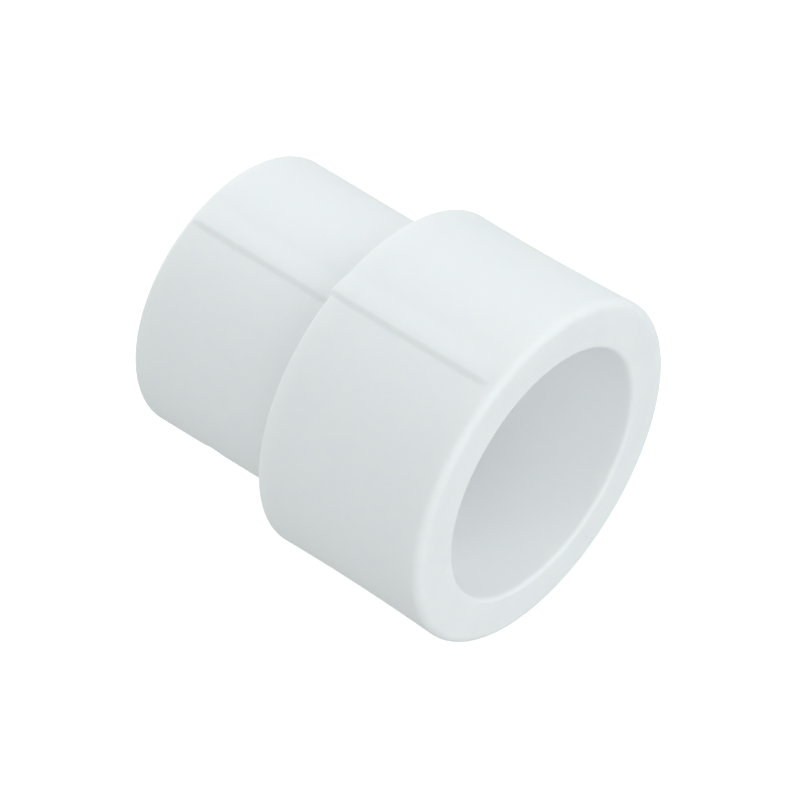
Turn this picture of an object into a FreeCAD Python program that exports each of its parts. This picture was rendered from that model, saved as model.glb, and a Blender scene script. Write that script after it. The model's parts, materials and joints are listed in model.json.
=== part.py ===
"""Reducing coupling for socket-fusion pipe, 25 mm to 20 mm: one moulded piece of white polypropylene.

The pipe axis is X, and +X leaves the large socket. The origin is the centre of the large socket's mouth.
+Z is up when the coupling lies on its large hub. Lengths are in millimetres, angles in degrees.

The mould's cavity, which forms the outside, is in two halves that meet on a plane through the pipe axis.
They leave a low lip along both hubs on that plane, on top and again underneath, steep on one side only.
The core plate forms the ring round the large mouth, so the lip ends where the ring begins.
"""
import FreeCAD, Part
import Sketcher

import os

DIMENSIONS = {
    # Outside. Every length is measured from the large mouth, along the pipe axis.
    "hubRadius": (16.5, "large hub, outer radius at its ends"),
    "hubLength": (17.8, "large mouth to the shoulder"),
    "waistRadius": (16.36, "large hub, outer radius at its waist, where the thick wall sinks most"),
    "waistPlace": (9.4, "large mouth to the waist"),
    "ringWidth": (1.05, "ring round the large mouth, formed by the core plate"),
    "ringRounding": (0.8, "rounding of the ring's outer edge"),
    "neckRadius": (13.1, "small hub, outer radius at the shoulder"),
    "neckMouthRadius": (13.4, "small hub, outer radius at its mouth"),
    "overallLength": (35.6, "large mouth to small mouth"),
    "shoulderRounding": (0.05, "rounding of the shoulder's outer edge"),
    "neckRootRounding": (0.4, "fillet where the small hub meets the shoulder"),
    "neckRimRounding": (0.5, "rounding of the small mouth's outer edge"),
    # Inside
    "socketRadius": (12.0, "large socket wall"),
    "socketDepth": (16.0, "large mouth to the stop that the large pipe's end meets"),
    "throatWideRadius": (9.0, "throat, at the large socket's stop"),
    "throatNarrowRadius": (6.7, "throat, at the small socket's stop"),
    "smallSocketRadius": (9.6, "small socket wall"),
    "smallSocketDepth": (14.5, "small mouth to the stop that the small pipe's end meets"),
    "entryRounding": (0.4, "rounding of both sockets' entry edges"),
    "stopRounding": (0.4, "fillet at the foot of both socket walls"),
    # Lip where the cavity's halves meet. Each flank's width is what it covers as it falls to the wall.
    "lipHeight": (0.25, "crest above the hub's wall"),
    "steepFlank": (0.8, "width of the steep flank"),
    "longFlank": (2.0, "width of the long flank"),
    "partingAngle": (23.0, "turn about X, from +Z to the crest that shows on top"),
}

FULL_TURN = 360.0
SAME = 0.01  # lengths nearer than this are equal
BURIED = 1.3  # how far each flank of the lip is drawn, past where it meets the wall, as a share of its run
NODE = "coupling_body"

# How Sketcher numbers its own axes, the first and last point of a side, and its origin
ACROSS, UPRIGHT = -1, -2
FIRST, LAST = 1, 2
ORIGIN = (ACROSS, FIRST)
# The way that a side bulges, seen along the way that the outline runs
LEFT, RIGHT = 1, -1


def make_sheet(doc):
    """The spreadsheet of driving dimensions: a note, then the value under its alias."""
    sheet = doc.addObject("Spreadsheet::Sheet", "Sizes")
    for row, (alias, (value, note)) in enumerate(DIMENSIONS.items(), start=1):
        sheet.set(f"A{row}", note)
        sheet.set(f"B{row}", str(value))
        sheet.setAlias(f"B{row}", alias)
    doc.recompute()


def size(alias, plus=None, less=None):
    """A driving dimension, with another one added or taken away if asked, as (expression, value)."""
    value = DIMENSIONS[alias][0]
    if plus:
        return f"Sizes.{alias} + Sizes.{plus}", value + DIMENSIONS[plus][0]
    if less:
        return f"Sizes.{alias} - Sizes.{less}", value - DIMENSIONS[less][0]
    return f"Sizes.{alias}", value


def origin_part(body, role):
    """One of the body's own origin planes or axes."""
    return next(part for part in body.Origin.OriginFeatures if part.Role == role)


def make_sketch(body, name, role="XY_Plane"):
    """A sketch on an origin plane. On XY_Plane: pipe axis across, radius up."""
    sketch = body.newObject("Sketcher::SketchObject", name)
    sketch.AttachmentSupport = [(origin_part(body, role), "")]
    sketch.MapMode = "FlatFace"
    return sketch


def side_between(start, end, bend):
    """The geometry of one side, then the Sketcher numbers of its first and last point.

    A bend is (LEFT or RIGHT, radius), after the way that the side bulges. Sketcher's arcs run
    anticlockwise, so one that bulges to the left is drawn from its far end.
    """
    if bend is None:
        return Part.LineSegment(start, end), (FIRST, LAST)
    way, (_, radius) = bend
    along = end - start
    rise = radius - (radius**2 - along.Length**2 / 4) ** 0.5
    crown = start + along * 0.5 + FreeCAD.Vector(-along.y, along.x, 0).normalize() * rise * way
    if way == LEFT:
        return Part.Arc(end, crown, start), (LAST, FIRST)
    return Part.Arc(start, crown, end), (FIRST, LAST)


def bind(sketch, name, expression, *constraint):
    """Add a named dimension and tie it to the sheet."""
    index = sketch.addConstraint(Sketcher.Constraint(*constraint))
    sketch.renameConstraint(index, name)
    sketch.setExpression(f"Constraints.{name}", expression)


def hold(sketch, side, point, length, radius):
    """Hold a side's point at a length and a radius: None is the mouth plane or the pipe axis."""
    if length is None:
        sketch.addConstraint(Sketcher.Constraint("PointOnObject", side, point, UPRIGHT))
    else:
        dimension = ("DistanceX", side, point, *ORIGIN, length[1])
        bind(sketch, f"length{side}", length[0], *dimension)
    if radius is None:
        sketch.addConstraint(Sketcher.Constraint("PointOnObject", side, point, ACROSS))
    else:
        dimension = ("DistanceY", *ORIGIN, side, point, radius[1])
        bind(sketch, f"radius{side}", radius[0], *dimension)


def draw_outline(sketch, corners):
    """A closed outline through corners of (length, radius, bend of the side that starts there)."""
    points = [
        FreeCAD.Vector(-length[1] if length else 0.0, radius[1] if radius else 0.0, 0)
        for length, radius, _ in corners
    ]
    ends = []
    for start, end, (_, _, bend) in zip(points, points[1:] + points[:1], corners):
        geometry, side_ends = side_between(start, end, bend)
        sketch.addGeometry(geometry, False)
        ends.append(side_ends)
    for side, (_, last) in enumerate(ends):
        following = (side + 1) % len(ends)
        first = ends[following][0]
        sketch.addConstraint(Sketcher.Constraint("Coincident", side, last, following, first))
    for side, (length, radius, bend) in enumerate(corners):
        hold(sketch, side, ends[side][0], length, radius)
        if bend:
            expression, value = bend[1]
            bind(sketch, f"bend{side}", expression, "Radius", side, value)


def turn(body, kind, name, sketch):
    """A full Revolution or Groove of a sketch about its own across axis."""
    feature = body.newObject(f"PartDesign::{kind}", name)
    feature.Profile = sketch
    feature.ReferenceAxis = (sketch, ["H_Axis"])
    feature.Angle = FULL_TURN
    sketch.Visibility = False
    body.Document.recompute()
    return feature


def outside(body):
    """Both hubs and the ring round the large mouth, before the bore is cut."""
    sketch = make_sketch(body, "HubsOutline")
    rim, root, shoulder, edge = "neckRimRounding", "neckRootRounding", "shoulderRounding", "ringRounding"
    corners = [
        (size("overallLength"), None, None),
        (size("overallLength"), size("neckMouthRadius", less=rim), (LEFT, size(rim))),
        (size("overallLength", less=rim), size("neckMouthRadius"), None),
        (size("hubLength", plus=root), size("neckRadius"), (RIGHT, size(root))),
        (size("hubLength"), size("neckRadius", plus=root), None),
        (size("hubLength"), size("hubRadius", less=shoulder), (LEFT, size(shoulder))),
        (size("hubLength", less=shoulder), size("hubRadius"), None),
        (size("waistPlace"), size("waistRadius"), None),
        (size("ringWidth"), size("hubRadius"), None),
        (size(edge), size("hubRadius"), (LEFT, size(edge))),
        (None, size("hubRadius", less=edge), None),
        (None, None, None),
    ]
    draw_outline(sketch, corners)
    return turn(body, "Revolution", "Hubs", sketch)


def waterway(body):
    """Both sockets and the tapered throat between their stops."""
    sketch = make_sketch(body, "WaterwayOutline")
    small_stop = size("overallLength", less="smallSocketDepth")
    corners = [
        (size("overallLength"), None, None),
        (size("overallLength"), size("smallSocketRadius"), None),
        (small_stop, size("smallSocketRadius"), None),
        (small_stop, size("throatNarrowRadius"), None),
        (size("socketDepth"), size("throatWideRadius"), None),
        (size("socketDepth"), size("socketRadius"), None),
        (None, size("socketRadius"), None),
        (None, None, None),
    ]
    draw_outline(sketch, corners)
    return turn(body, "Groove", "Waterway", sketch)


def lip_path(body, name, places):
    """The run of one lip along a hub's wall, through (length, radius) places where the halves meet."""
    sketch = make_sketch(body, f"{name}Path", "XZ_Plane")
    points = [FreeCAD.Vector(-length[1], radius[1], 0) for length, radius in places]
    ends = []
    for side, (start, end) in enumerate(zip(points, points[1:])):
        sketch.addGeometry(Part.LineSegment(start, end), False)
        ends += [(side, FIRST), (side, LAST)]
    for last, first in zip(ends[1::2], ends[2::2]):
        sketch.addConstraint(Sketcher.Constraint("Coincident", *last, *first))
    for end, (length, radius) in zip([ends[0]] + ends[1::2], places):
        bind(sketch, f"length{end[0]}_{end[1]}", length[0], "DistanceX", *end, *ORIGIN, length[1])
        bind(sketch, f"radius{end[0]}_{end[1]}", radius[0], "DistanceY", *ORIGIN, *end, radius[1])
    return sketch


def flank_end(crest, radius, flank):
    """Where one drawn flank ends inside the wall: distances up from the axis and sideways."""
    run = f"{crest[0]} - sqrt({radius[0]} ^ 2 - {flank[0]} ^ 2)"
    up = crest[1] - BURIED * (crest[1] - (radius[1] ** 2 - flank[1] ** 2) ** 0.5)
    return (f"{crest[0]} - {BURIED} * ({run})", up), (f"{BURIED} * {flank[0]}", BURIED * flank[1])


def lip_section(body, name, length, radius):
    """The lip's section where its path starts: a crest between two flanks that end inside the wall."""
    sketch = make_sketch(body, f"{name}Section", "YZ_Plane")
    sketch.setExpression("AttachmentOffset.Base.z", f"-{length[0]}")
    height, steep, long = (size(alias) for alias in ("lipHeight", "steepFlank", "longFlank"))
    crest = (f"({radius[0]} + {height[0]})", radius[1] + height[1])
    steep_up, steep_side = flank_end(crest, radius, steep)
    long_up, long_side = flank_end(crest, radius, long)
    top = FreeCAD.Vector(0, crest[1], 0)
    steep_end = FreeCAD.Vector(-steep_side[1], steep_up[1], 0)
    long_end = FreeCAD.Vector(long_side[1], long_up[1], 0)
    corners = [top, steep_end, long_end]
    for corner, following in zip(corners, corners[1:] + corners[:1]):
        sketch.addGeometry(Part.LineSegment(corner, following), False)
    for side in range(len(corners)):
        following = (side + 1) % len(corners)
        sketch.addConstraint(Sketcher.Constraint("Coincident", side, LAST, following, FIRST))
    sketch.addConstraint(Sketcher.Constraint("PointOnObject", 0, FIRST, UPRIGHT))
    bind(sketch, "crest", crest[0], "DistanceY", *ORIGIN, 0, FIRST, top.y)
    bind(sketch, "steepUp", steep_up[0], "DistanceY", *ORIGIN, 1, FIRST, steep_end.y)
    bind(sketch, "steepSide", steep_side[0], "DistanceX", 1, FIRST, *ORIGIN, -steep_end.x)
    bind(sketch, "longUp", long_up[0], "DistanceY", *ORIGIN, 2, FIRST, long_end.y)
    bind(sketch, "longSide", long_side[0], "DistanceX", *ORIGIN, 2, FIRST, long_end.x)
    return sketch


def lip(body, name, places):
    """One lip: its section carried along its path."""
    before = body.Tip.Shape.Volume
    section = lip_section(body, name, *places[0])
    path = lip_path(body, name, places)
    ridge = body.newObject("PartDesign::AdditivePipe", name)
    ridge.Profile = section
    ridge.Spine = (path, [f"Edge{number}" for number in range(1, len(places))])
    section.Visibility = False
    path.Visibility = False
    body.Document.recompute()
    if ridge.Shape.Volume < before + SAME:
        raise RuntimeError(f"{name} was not added")
    return ridge


def parting_lips(body):
    """The lip along each hub on one side, then the same pair half a turn round."""
    hub_start = (size("ringWidth"), size("hubRadius"))
    waist = (size("waistPlace"), size("waistRadius"))
    hub_end = (size("hubLength", less="shoulderRounding"), size("hubRadius"))
    hub = lip(body, "HubLip", [hub_start, waist, hub_end])
    neck_start = (size("hubLength", less="neckRootRounding"), size("neckRadius"))
    neck_end = (size("overallLength", less="neckRimRounding"), size("neckMouthRadius"))
    neck = lip(body, "NeckLip", [neck_start, neck_end])
    pair = body.newObject("PartDesign::PolarPattern", "PartingLips")
    pair.Originals = [hub, neck]
    pair.Axis = (origin_part(body, "X_Axis"), [""])
    pair.Angle = FULL_TURN
    pair.Occurrences = 2
    body.Tip = pair
    body.Document.recompute()
    if pair.Shape.Volume < neck.Shape.Volume + SAME:
        raise RuntimeError("the parting lips are on one side only")


def edges_at(shape, length, radius):
    """Names of the round edges about the pipe axis at a length and radius."""
    names = []
    for number, edge in enumerate(shape.Edges, start=1):
        if not isinstance(edge.Curve, Part.Circle):
            continue
        from_place = edge.Curve.Center - FreeCAD.Vector(-length, 0, 0)
        if from_place.Length < SAME and abs(edge.Curve.Radius - radius) < SAME:
            names.append(f"Edge{number}")
    if not names:
        raise RuntimeError(f"no round edge {length} mm back with radius {radius} mm")
    return names


def soften(body, name, rounding, places):
    """Round the edges at each place, a length and a radius, with one radius from the sheet."""
    base = body.Tip
    names = []
    for length, radius in places:
        names += edges_at(base.Shape, length[1] if length else 0.0, radius[1])
    fillet = body.newObject("PartDesign::Fillet", name)
    fillet.Base = (base, names)
    fillet.setExpression("Radius", f"Sizes.{rounding}")
    body.Document.recompute()
    if abs(fillet.Shape.Volume - base.Shape.Volume) < SAME:
        raise RuntimeError(f"{name} changed nothing")


def round_sockets(body):
    """The entry edge and the foot of each socket's wall."""
    small_stop = size("overallLength", less="smallSocketDepth")
    large, small = size("socketRadius"), size("smallSocketRadius")
    soften(body, "SocketEntries", "entryRounding", [(None, large), (size("overallLength"), small)])
    soften(body, "SocketStops", "stopRounding", [(size("socketDepth"), large), (small_stop, small)])


def make_coupling(doc):
    """The whole coupling, turned about the pipe axis so that the parting lips lie where they should."""
    body = doc.addObject("PartDesign::Body", "CouplingBody")
    body.Label = NODE
    uncut = outside(body)
    if waterway(body).Shape.Volume >= uncut.Shape.Volume:
        raise RuntimeError("the waterway was not cut")
    round_sockets(body)
    parting_lips(body)
    turned = FreeCAD.Rotation(FreeCAD.Vector(1, 0, 0), DIMENSIONS["partingAngle"][0])
    body.Placement = FreeCAD.Placement(FreeCAD.Vector(0, 0, 0), turned)
    body.setExpression("Placement.Rotation.Angle", "Sizes.partingAngle * 1deg")
    doc.recompute()
    return body


def check(doc, body):
    """Stop if any object failed, or if the sub-part isn't one valid solid."""
    for item in doc.Objects:
        if {"Invalid", "Error"} & set(item.State):
            raise RuntimeError(f"{item.Label} is {item.State}")
    if body.Shape.isNull() or not body.Shape.isValid() or len(body.Shape.Solids) != 1:
        raise RuntimeError(f"{body.Label} is not one valid solid")


def main():
    doc = FreeCAD.newDocument("ReducingCoupling")
    make_sheet(doc)
    body = make_coupling(doc)
    check(doc, body)
    os.makedirs("parts", exist_ok=True)
    body.Shape.exportStep(f"parts/{body.Label}.step")
    box = body.Shape.BoundBox
    print(f"{body.Label}: {box}, {body.Shape.Volume:.1f} mm3, centre {body.Shape.CenterOfGravity}")


main()
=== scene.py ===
"""Looks of a reducing coupling for socket-fusion pipe: one moulded piece of white polypropylene.

The pipe axis is X and +X leaves the large socket, whose mouth has the origin at its centre. The coupling
lies on its large hub with +Z up. Lengths are in metres. Angles round the pipe are in degrees from +Z, and
grow towards +Y.
"""

import json
import math

import bmesh
import bpy
from mathutils import Matrix, Vector

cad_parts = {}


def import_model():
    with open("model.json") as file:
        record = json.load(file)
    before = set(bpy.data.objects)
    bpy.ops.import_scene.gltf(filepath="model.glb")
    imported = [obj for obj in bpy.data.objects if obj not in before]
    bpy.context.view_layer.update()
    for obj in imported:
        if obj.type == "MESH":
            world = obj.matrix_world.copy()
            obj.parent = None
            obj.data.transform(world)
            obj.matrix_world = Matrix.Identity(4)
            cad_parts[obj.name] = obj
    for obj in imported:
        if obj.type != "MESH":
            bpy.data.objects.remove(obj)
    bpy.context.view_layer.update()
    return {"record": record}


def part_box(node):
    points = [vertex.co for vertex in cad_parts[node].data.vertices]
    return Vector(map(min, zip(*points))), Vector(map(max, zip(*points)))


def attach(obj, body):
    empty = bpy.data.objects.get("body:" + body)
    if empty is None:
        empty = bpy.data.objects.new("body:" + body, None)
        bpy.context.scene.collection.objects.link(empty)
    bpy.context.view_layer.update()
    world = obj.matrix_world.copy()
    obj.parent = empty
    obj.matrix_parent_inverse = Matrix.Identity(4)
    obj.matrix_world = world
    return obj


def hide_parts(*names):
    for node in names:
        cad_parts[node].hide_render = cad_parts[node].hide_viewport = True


NODE = "coupling_body"
MM = 0.001
FULL_TURN = 360.0
FACING_OUT = 0.5

# Outside of the coupling, from the large mouth back
HUB_LENGTH = 17.8 * MM
HUB_BOW = 0.14 * MM
RING_WIDTH = 1.05 * MM
RING_ROUNDING = 0.8 * MM
SHOULDER_ROUNDING = 0.05 * MM
NECK_RADIUS = 13.1 * MM
NECK_MOUTH_RADIUS = 13.4 * MM
NECK_ROOT_ROUNDING = 0.4 * MM
NECK_RIM_ROUNDING = 0.5 * MM

# Inside
THROAT_WIDE_RADIUS = 9.0 * MM
THROAT_NARROW_RADIUS = 6.7 * MM
THROAT_EDGE_ROUNDING = 0.15 * MM
ENTRY_ROUNDING = 0.4 * MM
STOP_ROUNDING = 0.4 * MM

# The low lip that the two halves of the mould leave along both hubs. Places are measured round the hub
# from the line's angle: a short rise to the crest, a long fall, and a faint crease on the rise. The lip
# fades out at the front ring and at the small mouth.
LINE_ANGLES = (336.0, 156.0)
LIP_HEIGHT = 0.25 * MM
LIP_START = -0.6 * MM
LIP_RISE = 0.7 * MM
LIP_CREST = 0.1 * MM
LIP_FALL = 2.6 * MM
CREASE_DEPTH = 0.12 * MM
CREASE_PLACE = -0.25 * MM
CREASE_HALF_WIDTH = 0.35 * MM
RING_FADE = 0.4 * MM
MOUTH_FADE = 1.4 * MM

# The scar where the moulding was cut from its runner, low on the small hub
GATE_ANGLE = 234.5
GATE_BACK = 5.9 * MM
GATE_LENGTH = 2.6 * MM
GATE_HALF_WIDTH = 1.6 * MM
GATE_DEPTH = 0.2 * MM
GATE_DROP = 0.1

# Polypropylene: its tint, gloss and translucency
CLOUD_DARK = (0.932, 0.938, 0.944, 1.0)
CLOUD_PALE = (0.952, 0.958, 0.964, 1.0)
CLOUD_SCALE = 150.0
CLOUD_DETAIL = 4.0
CLOUD_GRADING = 0.6
REFRACTIVE_INDEX = 1.49
SATIN_ROUGHNESS = (0.42, 0.54)
TRANSLUCENCY = 0.5
LIGHT_REACH = 0.8 * MM
REACH_BY_COLOUR = (1.0, 0.9, 0.8)

# Its wear: rubbed patches on the edges of the two mouths and the shoulder, and scuffs all over
WORN_COLOUR = (0.895, 0.9, 0.905, 1.0)
WORN_EDGES = (0.0, -HUB_LENGTH, -35.6 * MM)
WORN_WIDTH = 0.9 * MM
WORN_TINT = 0.5
WORN_ROUGHNESS = -0.1
PATCH_SCALE = 260.0
PATCH_DETAIL = 3.0
PATCH_LEVELS = (0.42, 0.62)
SCUFF_SCALE = 420.0
SCUFF_DETAIL = 6.0
SCUFF_GRADING = 0.7
SCUFF_LEVELS = (0.58, 0.7)
SCUFF_ROUGHNESS = 0.12

# Its surface: draw marks, stretched along the pipe axis, and a fine grain
MARK_SCALE = 2200.0
MARK_STRETCH = (0.03, 1, 1)
MARK_DEPTH = 0.006 * MM
MARK_STRENGTH = 0.35
GRAIN_SCALE = 6000.0
GRAIN_DEPTH = 0.01 * MM
GRAIN_STRENGTH = 0.5
SURFACE_DETAIL = 2.0

# Camera
SENSOR_WIDTH = 36
LENS = 154.5
NEAREST = 0.01
FARTHEST = 20
CAMERA_PLACE = (124.7 * MM, -162.1 * MM, 207.8 * MM)
CAMERA_BACK = (0.4701, -0.5405, 0.6978)

# Studio: daylight-coloured, with each soft box's name, azimuth, elevation and power in watts
LIGHT_WIDTH = 0.45
LIGHT_DISTANCE = 0.6
LIGHTS = (
    ("front_left_low", -60.0, 12.0, 0.56),
    ("front_right", -22.0, 25.0, 0.5),
    ("front_right_low", 0.0, 10.0, 0.2),
    ("back_right", 45.0, 35.0, 0.89),
    ("back", 135.0, 45.0, 0.65),
    ("back_left_low", 180.0, 10.0, 1.24),
)
LIGHT_COLOUR = (0.938, 0.992, 1.0)
FILL = 0.559

# Floor: a white light table
FLOOR_HALF = 8.0
FLOOR_COLOUR = (0.94, 0.94, 0.94, 1)
FLOOR_ROUGHNESS = 0.9
FLOOR_SHEEN = 0.1
FLOOR_GLOW = 0.5
FLOOR_GLOW_COLOUR = (1, 1, 1, 1)

# Mesh
ROW_STEP = 0.6 * MM
EDGE_STEP = 0.05 * MM
ROUNDING_ROWS = 7
COLUMN_STEP = 1.5
FINE_COLUMN_STEP = 0.25
FINE_REACH = 6.5


def corner_points(before, corner, after, radius):
    """The arc that rounds one corner of the section, as points from the incoming side to the outgoing."""
    towards_before = (before - corner).normalized()
    towards_after = (after - corner).normalized()
    half_angle = towards_before.angle(towards_after) / 2
    cut = radius / math.tan(half_angle)
    middle = (towards_before + towards_after).normalized()
    centre = corner + middle * (radius / math.sin(half_angle))
    start = corner + towards_before * cut - centre
    end = corner + towards_after * cut - centre
    sweep = start.angle_signed(end)
    points = []
    for row in range(ROUNDING_ROWS + 1):
        turn = Matrix.Rotation(-sweep * row / ROUNDING_ROWS, 2)
        points.append(centre + turn @ start)
    return points


def run_points(start, end):
    """Places between two points of the section, with a close one at each end to keep the shading flat."""
    length = (end - start).length
    if length < 3 * EDGE_STEP:
        return []
    steps = max(1, round((length - 2 * EDGE_STEP) / ROW_STEP))
    places = [EDGE_STEP + (length - 2 * EDGE_STEP) * step / steps for step in range(steps + 1)]
    return [start.lerp(end, place / length) for place in places]


def section(length, hub_radius, sockets):
    """The closed section of the wall, as (x, radius) points. It runs round the outside, then the bore."""
    large, small = sockets
    corners = [
        (Vector((0, large["radius"])), ENTRY_ROUNDING),
        (Vector((0, hub_radius)), RING_ROUNDING),
        (Vector((-RING_WIDTH, hub_radius)), 0),
        (Vector((-HUB_LENGTH, hub_radius)), SHOULDER_ROUNDING),
        (Vector((-HUB_LENGTH, NECK_RADIUS)), NECK_ROOT_ROUNDING),
        (Vector((-length, NECK_MOUTH_RADIUS)), NECK_RIM_ROUNDING),
        (Vector((-length, small["radius"])), ENTRY_ROUNDING),
        (Vector((small["stop"], small["radius"])), STOP_ROUNDING),
        (Vector((small["stop"], THROAT_NARROW_RADIUS)), THROAT_EDGE_ROUNDING),
        (Vector((large["stop"], THROAT_WIDE_RADIUS)), THROAT_EDGE_ROUNDING),
        (Vector((large["stop"], large["radius"])), STOP_ROUNDING),
    ]
    arcs = []
    for number, (corner, radius) in enumerate(corners):
        before = corners[number - 1][0]
        after = corners[(number + 1) % len(corners)][0]
        arcs.append(corner_points(before, corner, after, radius) if radius else [corner])
    points = []
    for number, arc in enumerate(arcs):
        points += arc
        points += run_points(arc[-1], arcs[(number + 1) % len(arcs)][0])
    return points


def section_normals(points):
    """The outward normal at each point of the section."""
    normals = []
    for number, point in enumerate(points):
        along = points[(number + 1) % len(points)] - points[number - 1]
        normals.append(Vector((along.y, -along.x)).normalized())
    return normals


def columns():
    """Angles of the mesh's columns, closer together at the parting line and at the gate's scar."""
    centres = [*LINE_ANGLES, GATE_ANGLE]
    angles = []
    angle = 0.0
    while angle < FULL_TURN:
        angles.append(angle)
        nearest = min(abs(turn_between(angle, centre)) for centre in centres)
        easing = min(1.0, max(0.0, (nearest - FINE_REACH) / FINE_REACH))
        angle += FINE_COLUMN_STEP + (COLUMN_STEP - FINE_COLUMN_STEP) * easing
    if FULL_TURN - angles[-1] < FINE_COLUMN_STEP:
        angles.pop()
    return angles


def turn_between(angle, centre):
    """How far an angle lies past a centre, the short way round."""
    return (angle - centre + FULL_TURN / 2) % FULL_TURN - FULL_TURN / 2


def smooth(value):
    """0 below 0, 1 above 1, and an even curve between."""
    value = min(1.0, max(0.0, value))
    return value * value * (3 - 2 * value)


def line_share(x, radius, faces_out, length):
    """How much of the parting lip a place of the section has, from 0 to 1."""
    inside = radius < NECK_RADIUS - NECK_RIM_ROUNDING
    if inside:
        return 0.0
    from_ring = smooth((-RING_WIDTH - x) / RING_FADE)
    to_mouth = smooth((x + length) / MOUTH_FADE)
    return from_ring * to_mouth * smooth(faces_out)


def lip_height(offset):
    """Height of the parting lip at an offset round the hub from the line's angle."""
    rise = smooth((offset - LIP_START) / LIP_RISE)
    fall = smooth((offset - LIP_CREST) / LIP_FALL)
    crease = max(0.0, 1 - abs(offset - CREASE_PLACE) / CREASE_HALF_WIDTH)
    return LIP_HEIGHT * rise * (1 - fall) - CREASE_DEPTH * crease


def gate_depth(x, offset, length):
    """Depth of the gate's scar: a sharp drop near the small mouth, then a climb towards the shoulder."""
    start = -length + GATE_BACK
    along = (x - start) / GATE_LENGTH
    if not -GATE_DROP < along < 1:
        return 0.0
    across = smooth(1 - abs(offset) / GATE_HALF_WIDTH)
    drop = smooth((along + GATE_DROP) / GATE_DROP)
    climb = 1 - smooth(along)
    return GATE_DEPTH * across * drop * climb


def build_coupling(length, hub_radius, sockets):
    """The coupling as one closed mesh, turned from its section and marked by its mould."""
    points = section(length, hub_radius, sockets)
    normals = section_normals(points)
    angles = columns()
    hub_middle = -(RING_WIDTH + HUB_LENGTH) / 2
    hub_half = (HUB_LENGTH - RING_WIDTH) / 2
    mesh = bmesh.new()
    grid = []
    for angle in angles:
        column = []
        turned = math.radians(angle)
        outwards = Vector((0, math.sin(turned), math.cos(turned)))
        for point, normal in zip(points, normals):
            x, radius = point
            sunk = 0.0
            if radius > NECK_MOUTH_RADIUS + EDGE_STEP and normal.y > FACING_OUT:
                from_middle = min(1.0, abs(x - hub_middle) / hub_half)
                sunk = HUB_BOW * (1 - from_middle**2)
            share = line_share(x, radius, normal.y, length)
            if share:
                for centre in LINE_ANGLES:
                    offset = math.radians(turn_between(angle, centre)) * radius
                    sunk -= share * lip_height(offset)
                if normal.y > FACING_OUT:
                    sunk += gate_depth(x, math.radians(turn_between(angle, GATE_ANGLE)) * radius, length)
            place = point - normal * sunk
            column.append(mesh.verts.new(Vector((place.x, 0, 0)) + outwards * place.y))
        grid.append(column)
    for number, column in enumerate(grid):
        following = grid[(number + 1) % len(grid)]
        for row in range(len(points)):
            below = (row + 1) % len(points)
            face = mesh.faces.new((column[row], column[below], following[below], following[row]))
            face.smooth = True
    bmesh.ops.recalc_face_normals(mesh, faces=mesh.faces)
    data = bpy.data.meshes.new("coupling")
    mesh.to_mesh(data)
    mesh.free()
    piece = bpy.data.objects.new("coupling", data)
    bpy.context.scene.collection.objects.link(piece)
    return piece


def add_node(tree, kind, inputs=None, **settings):
    """A shader node with its settings and plain input values."""
    node = tree.nodes.new(kind)
    for name, value in settings.items():
        setattr(node, name, value)
    for name, value in (inputs or {}).items():
        node.inputs[name].default_value = value
    return node


def noise(tree, place, scale, detail, roughness=0.5):
    """A noise pattern's strength at each place, with features about 1/scale metres across."""
    values = {"Scale": scale, "Detail": detail, "Roughness": roughness}
    pattern = add_node(tree, "ShaderNodeTexNoise", values)
    tree.links.new(place, pattern.inputs["Vector"])
    return pattern.outputs["Fac"]


def in_range(tree, value, low, high, levels=(0.0, 1.0)):
    """A value carried from between two levels to another range, and held inside it."""
    limits = {"From Min": levels[0], "From Max": levels[1], "To Min": low, "To Max": high}
    change = add_node(tree, "ShaderNodeMapRange", limits)
    tree.links.new(value, change.inputs["Value"])
    return change.outputs["Result"]


def combine(tree, operation, first, second=None, third=None):
    """A sum on up to three values, each another node's output or a plain number."""
    step = add_node(tree, "ShaderNodeMath", operation=operation)
    for socket, value in zip(step.inputs, (first, second, third)):
        if isinstance(value, bpy.types.NodeSocket):
            tree.links.new(value, socket)
        elif value is not None:
            socket.default_value = value
    return step.outputs["Value"]


def rubbed_edges(tree, place):
    """1 on the edges of both mouths and the shoulder where they have been rubbed, 0 away from them."""
    split = add_node(tree, "ShaderNodeSeparateXYZ")
    tree.links.new(place, split.inputs["Vector"])
    nearest = None
    for edge in WORN_EDGES:
        away = combine(tree, "ABSOLUTE", combine(tree, "SUBTRACT", split.outputs["X"], edge))
        nearest = away if nearest is None else combine(tree, "MINIMUM", nearest, away)
    closeness = in_range(tree, nearest, 1.0, 0.0, (0.0, WORN_WIDTH))
    patches = in_range(tree, noise(tree, place, PATCH_SCALE, PATCH_DETAIL), 0.0, 1.0, PATCH_LEVELS)
    return combine(tree, "MULTIPLY", closeness, patches)


def draw_marks(tree, place):
    """Faint straight marks along the pipe axis, left as the moulding was drawn off its core."""
    stretch = add_node(tree, "ShaderNodeMapping")
    stretch.inputs["Scale"].default_value = MARK_STRETCH
    tree.links.new(place, stretch.inputs["Vector"])
    return noise(tree, stretch.outputs["Vector"], MARK_SCALE, SURFACE_DETAIL)


def raise_surface(tree, height, distance, strength, under=None):
    """A bump from a height pattern, on top of another bump if one is given."""
    bump = add_node(tree, "ShaderNodeBump", {"Strength": strength, "Distance": distance})
    tree.links.new(height, bump.inputs["Height"])
    if under:
        tree.links.new(under, bump.inputs["Normal"])
    return bump.outputs["Normal"]


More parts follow.
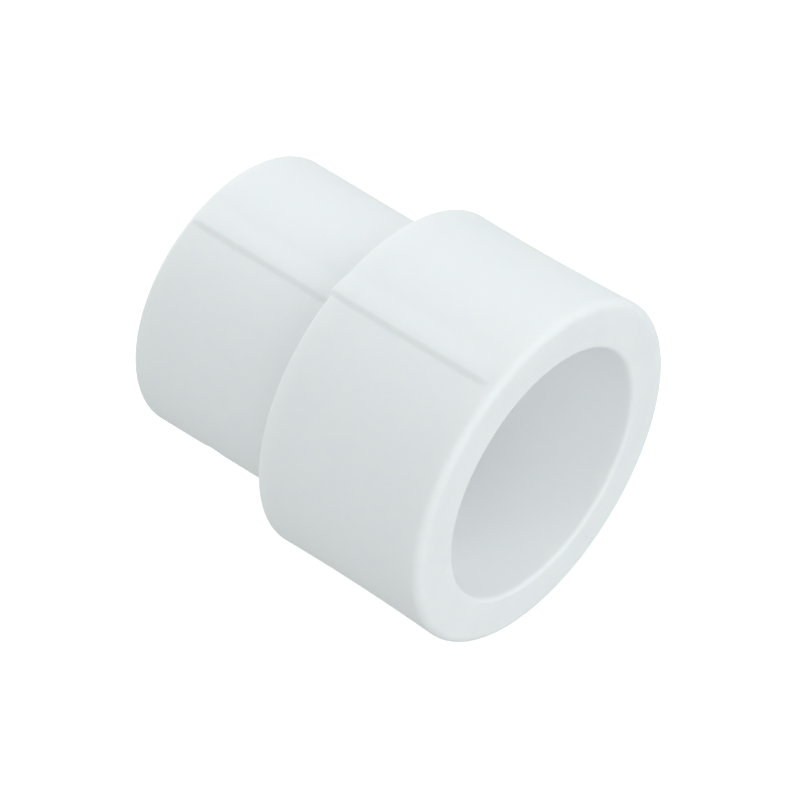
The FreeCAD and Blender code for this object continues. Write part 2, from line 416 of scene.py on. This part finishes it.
def moulded_polypropylene():
    """White polypropylene as moulded: satin, faintly cloudy and translucent, with light handling wear."""
    material = bpy.data.materials.new("moulded_polypropylene")
    material.use_nodes = True
    tree = material.node_tree
    shader = tree.nodes["Principled BSDF"]
    shader.inputs["IOR"].default_value = REFRACTIVE_INDEX
    shader.inputs["Subsurface Weight"].default_value = TRANSLUCENCY
    shader.inputs["Subsurface Radius"].default_value = REACH_BY_COLOUR
    shader.inputs["Subsurface Scale"].default_value = LIGHT_REACH
    place = add_node(tree, "ShaderNodeTexCoord").outputs["Object"]
    cloud = noise(tree, place, CLOUD_SCALE, CLOUD_DETAIL, CLOUD_GRADING)
    worn = rubbed_edges(tree, place)
    tint = add_node(tree, "ShaderNodeMix", data_type="RGBA")
    tint.inputs["A"].default_value = CLOUD_DARK
    tint.inputs["B"].default_value = CLOUD_PALE
    tree.links.new(cloud, tint.inputs["Factor"])
    soiled = add_node(tree, "ShaderNodeMix", data_type="RGBA")
    soiled.inputs["B"].default_value = WORN_COLOUR
    tree.links.new(combine(tree, "MULTIPLY", worn, WORN_TINT), soiled.inputs["Factor"])
    tree.links.new(tint.outputs["Result"], soiled.inputs["A"])
    tree.links.new(soiled.outputs["Result"], shader.inputs["Base Color"])
    finish = in_range(tree, cloud, *SATIN_ROUGHNESS)
    burnished = combine(tree, "MULTIPLY_ADD", worn, WORN_ROUGHNESS, finish)
    scratched = noise(tree, place, SCUFF_SCALE, SCUFF_DETAIL, SCUFF_GRADING)
    scuffs = in_range(tree, scratched, 0.0, SCUFF_ROUGHNESS, SCUFF_LEVELS)
    tree.links.new(combine(tree, "ADD", burnished, scuffs), shader.inputs["Roughness"])
    marks = raise_surface(tree, draw_marks(tree, place), MARK_DEPTH, MARK_STRENGTH)
    grain = noise(tree, place, GRAIN_SCALE, SURFACE_DETAIL)
    surface = raise_surface(tree, grain, GRAIN_DEPTH, GRAIN_STRENGTH, marks)
    tree.links.new(surface, shader.inputs["Normal"])
    return material


def floor_acrylic():
    """Plain white acrylic, faintly lit from below as on a light table."""
    material = bpy.data.materials.new("studio_acrylic")
    material.use_nodes = True
    shader = material.node_tree.nodes["Principled BSDF"]
    shader.inputs["Base Color"].default_value = FLOOR_COLOUR
    shader.inputs["Roughness"].default_value = FLOOR_ROUGHNESS
    shader.inputs["Specular IOR Level"].default_value = FLOOR_SHEEN
    shader.inputs["Emission Color"].default_value = FLOOR_GLOW_COLOUR
    shader.inputs["Emission Strength"].default_value = FLOOR_GLOW
    return material


def build_floor(height):
    """A wide flat floor under the coupling. It sends no light up, so the fill comes from every side."""
    data = bpy.data.meshes.new("floor")
    sides = ((-1, -1), (1, -1), (1, 1), (-1, 1))
    corners = [(x * FLOOR_HALF, y * FLOOR_HALF, height) for x, y in sides]
    data.from_pydata(corners, [], [(0, 1, 2, 3)])
    floor = bpy.data.objects.new("floor", data)
    floor.data.materials.append(floor_acrylic())
    bpy.context.scene.collection.objects.link(floor)
    floor.visible_diffuse = False
    floor.visible_glossy = False
    return floor


def aim(thing, place, target):
    """Put a camera or light at a place, looking at a target, with +Z up in its view."""
    back = (place - target).normalized()
    thing.rotation_euler = back.to_track_quat("Z", "Y").to_euler()
    thing.location = place


def build_camera():
    """The camera: above the coupling, in front of its large mouth and to one side of the pipe axis."""
    data = bpy.data.cameras.new("camera")
    data.sensor_width = SENSOR_WIDTH
    data.lens = LENS
    data.clip_start = NEAREST
    data.clip_end = FARTHEST
    camera = bpy.data.objects.new("camera", data)
    bpy.context.scene.collection.objects.link(camera)
    place = Vector(CAMERA_PLACE)
    aim(camera, place, place - Vector(CAMERA_BACK))
    bpy.context.scene.camera = camera


def build_light(name, azimuth, elevation, power):
    """A square soft box at a compass angle and height round the coupling, turned towards it."""
    data = bpy.data.lights.new(name, "AREA")
    data.shape = "SQUARE"
    data.size = LIGHT_WIDTH
    data.energy = power
    data.color = LIGHT_COLOUR
    light = bpy.data.objects.new(name, data)
    light.visible_camera = False
    bpy.context.scene.collection.objects.link(light)
    flat = math.cos(math.radians(elevation))
    direction = Vector((
        flat * math.cos(math.radians(azimuth)),
        flat * math.sin(math.radians(azimuth)),
        math.sin(math.radians(elevation)),
    ))
    aim(light, direction * LIGHT_DISTANCE, Vector((-HUB_LENGTH, 0, 0)))


def light_studio():
    """Soft boxes round the coupling, in an even fill of the same colour."""
    world = bpy.data.worlds.new("room")
    world.use_nodes = True
    background = world.node_tree.nodes["Background"]
    background.inputs["Color"].default_value = (*LIGHT_COLOUR, 1)
    background.inputs["Strength"].default_value = FILL
    bpy.context.scene.world = world
    for light in LIGHTS:
        build_light(*light)
    bpy.context.scene.view_settings.view_transform = "Standard"


def main():
    """The coupling in its studio, sized by the CAD frame."""
    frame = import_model()
    low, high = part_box(NODE)
    mounts = {mount["name"]: mount for mount in frame["record"]["mounts"]}
    sockets = [
        {
            "radius": mounts[f"{name}_socket"]["dims"]["r_mm"] * MM,
            "stop": mounts[f"{name}_socket_stop"]["pos_m"][0],
        }
        for name in ("large", "small")
    ]
    coupling = build_coupling(high.x - low.x, high.z, sockets)
    coupling.data.materials.append(moulded_polypropylene())
    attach(coupling, "root")
    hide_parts(NODE)
    build_floor(low.z)
    build_camera()
    light_studio()


main()
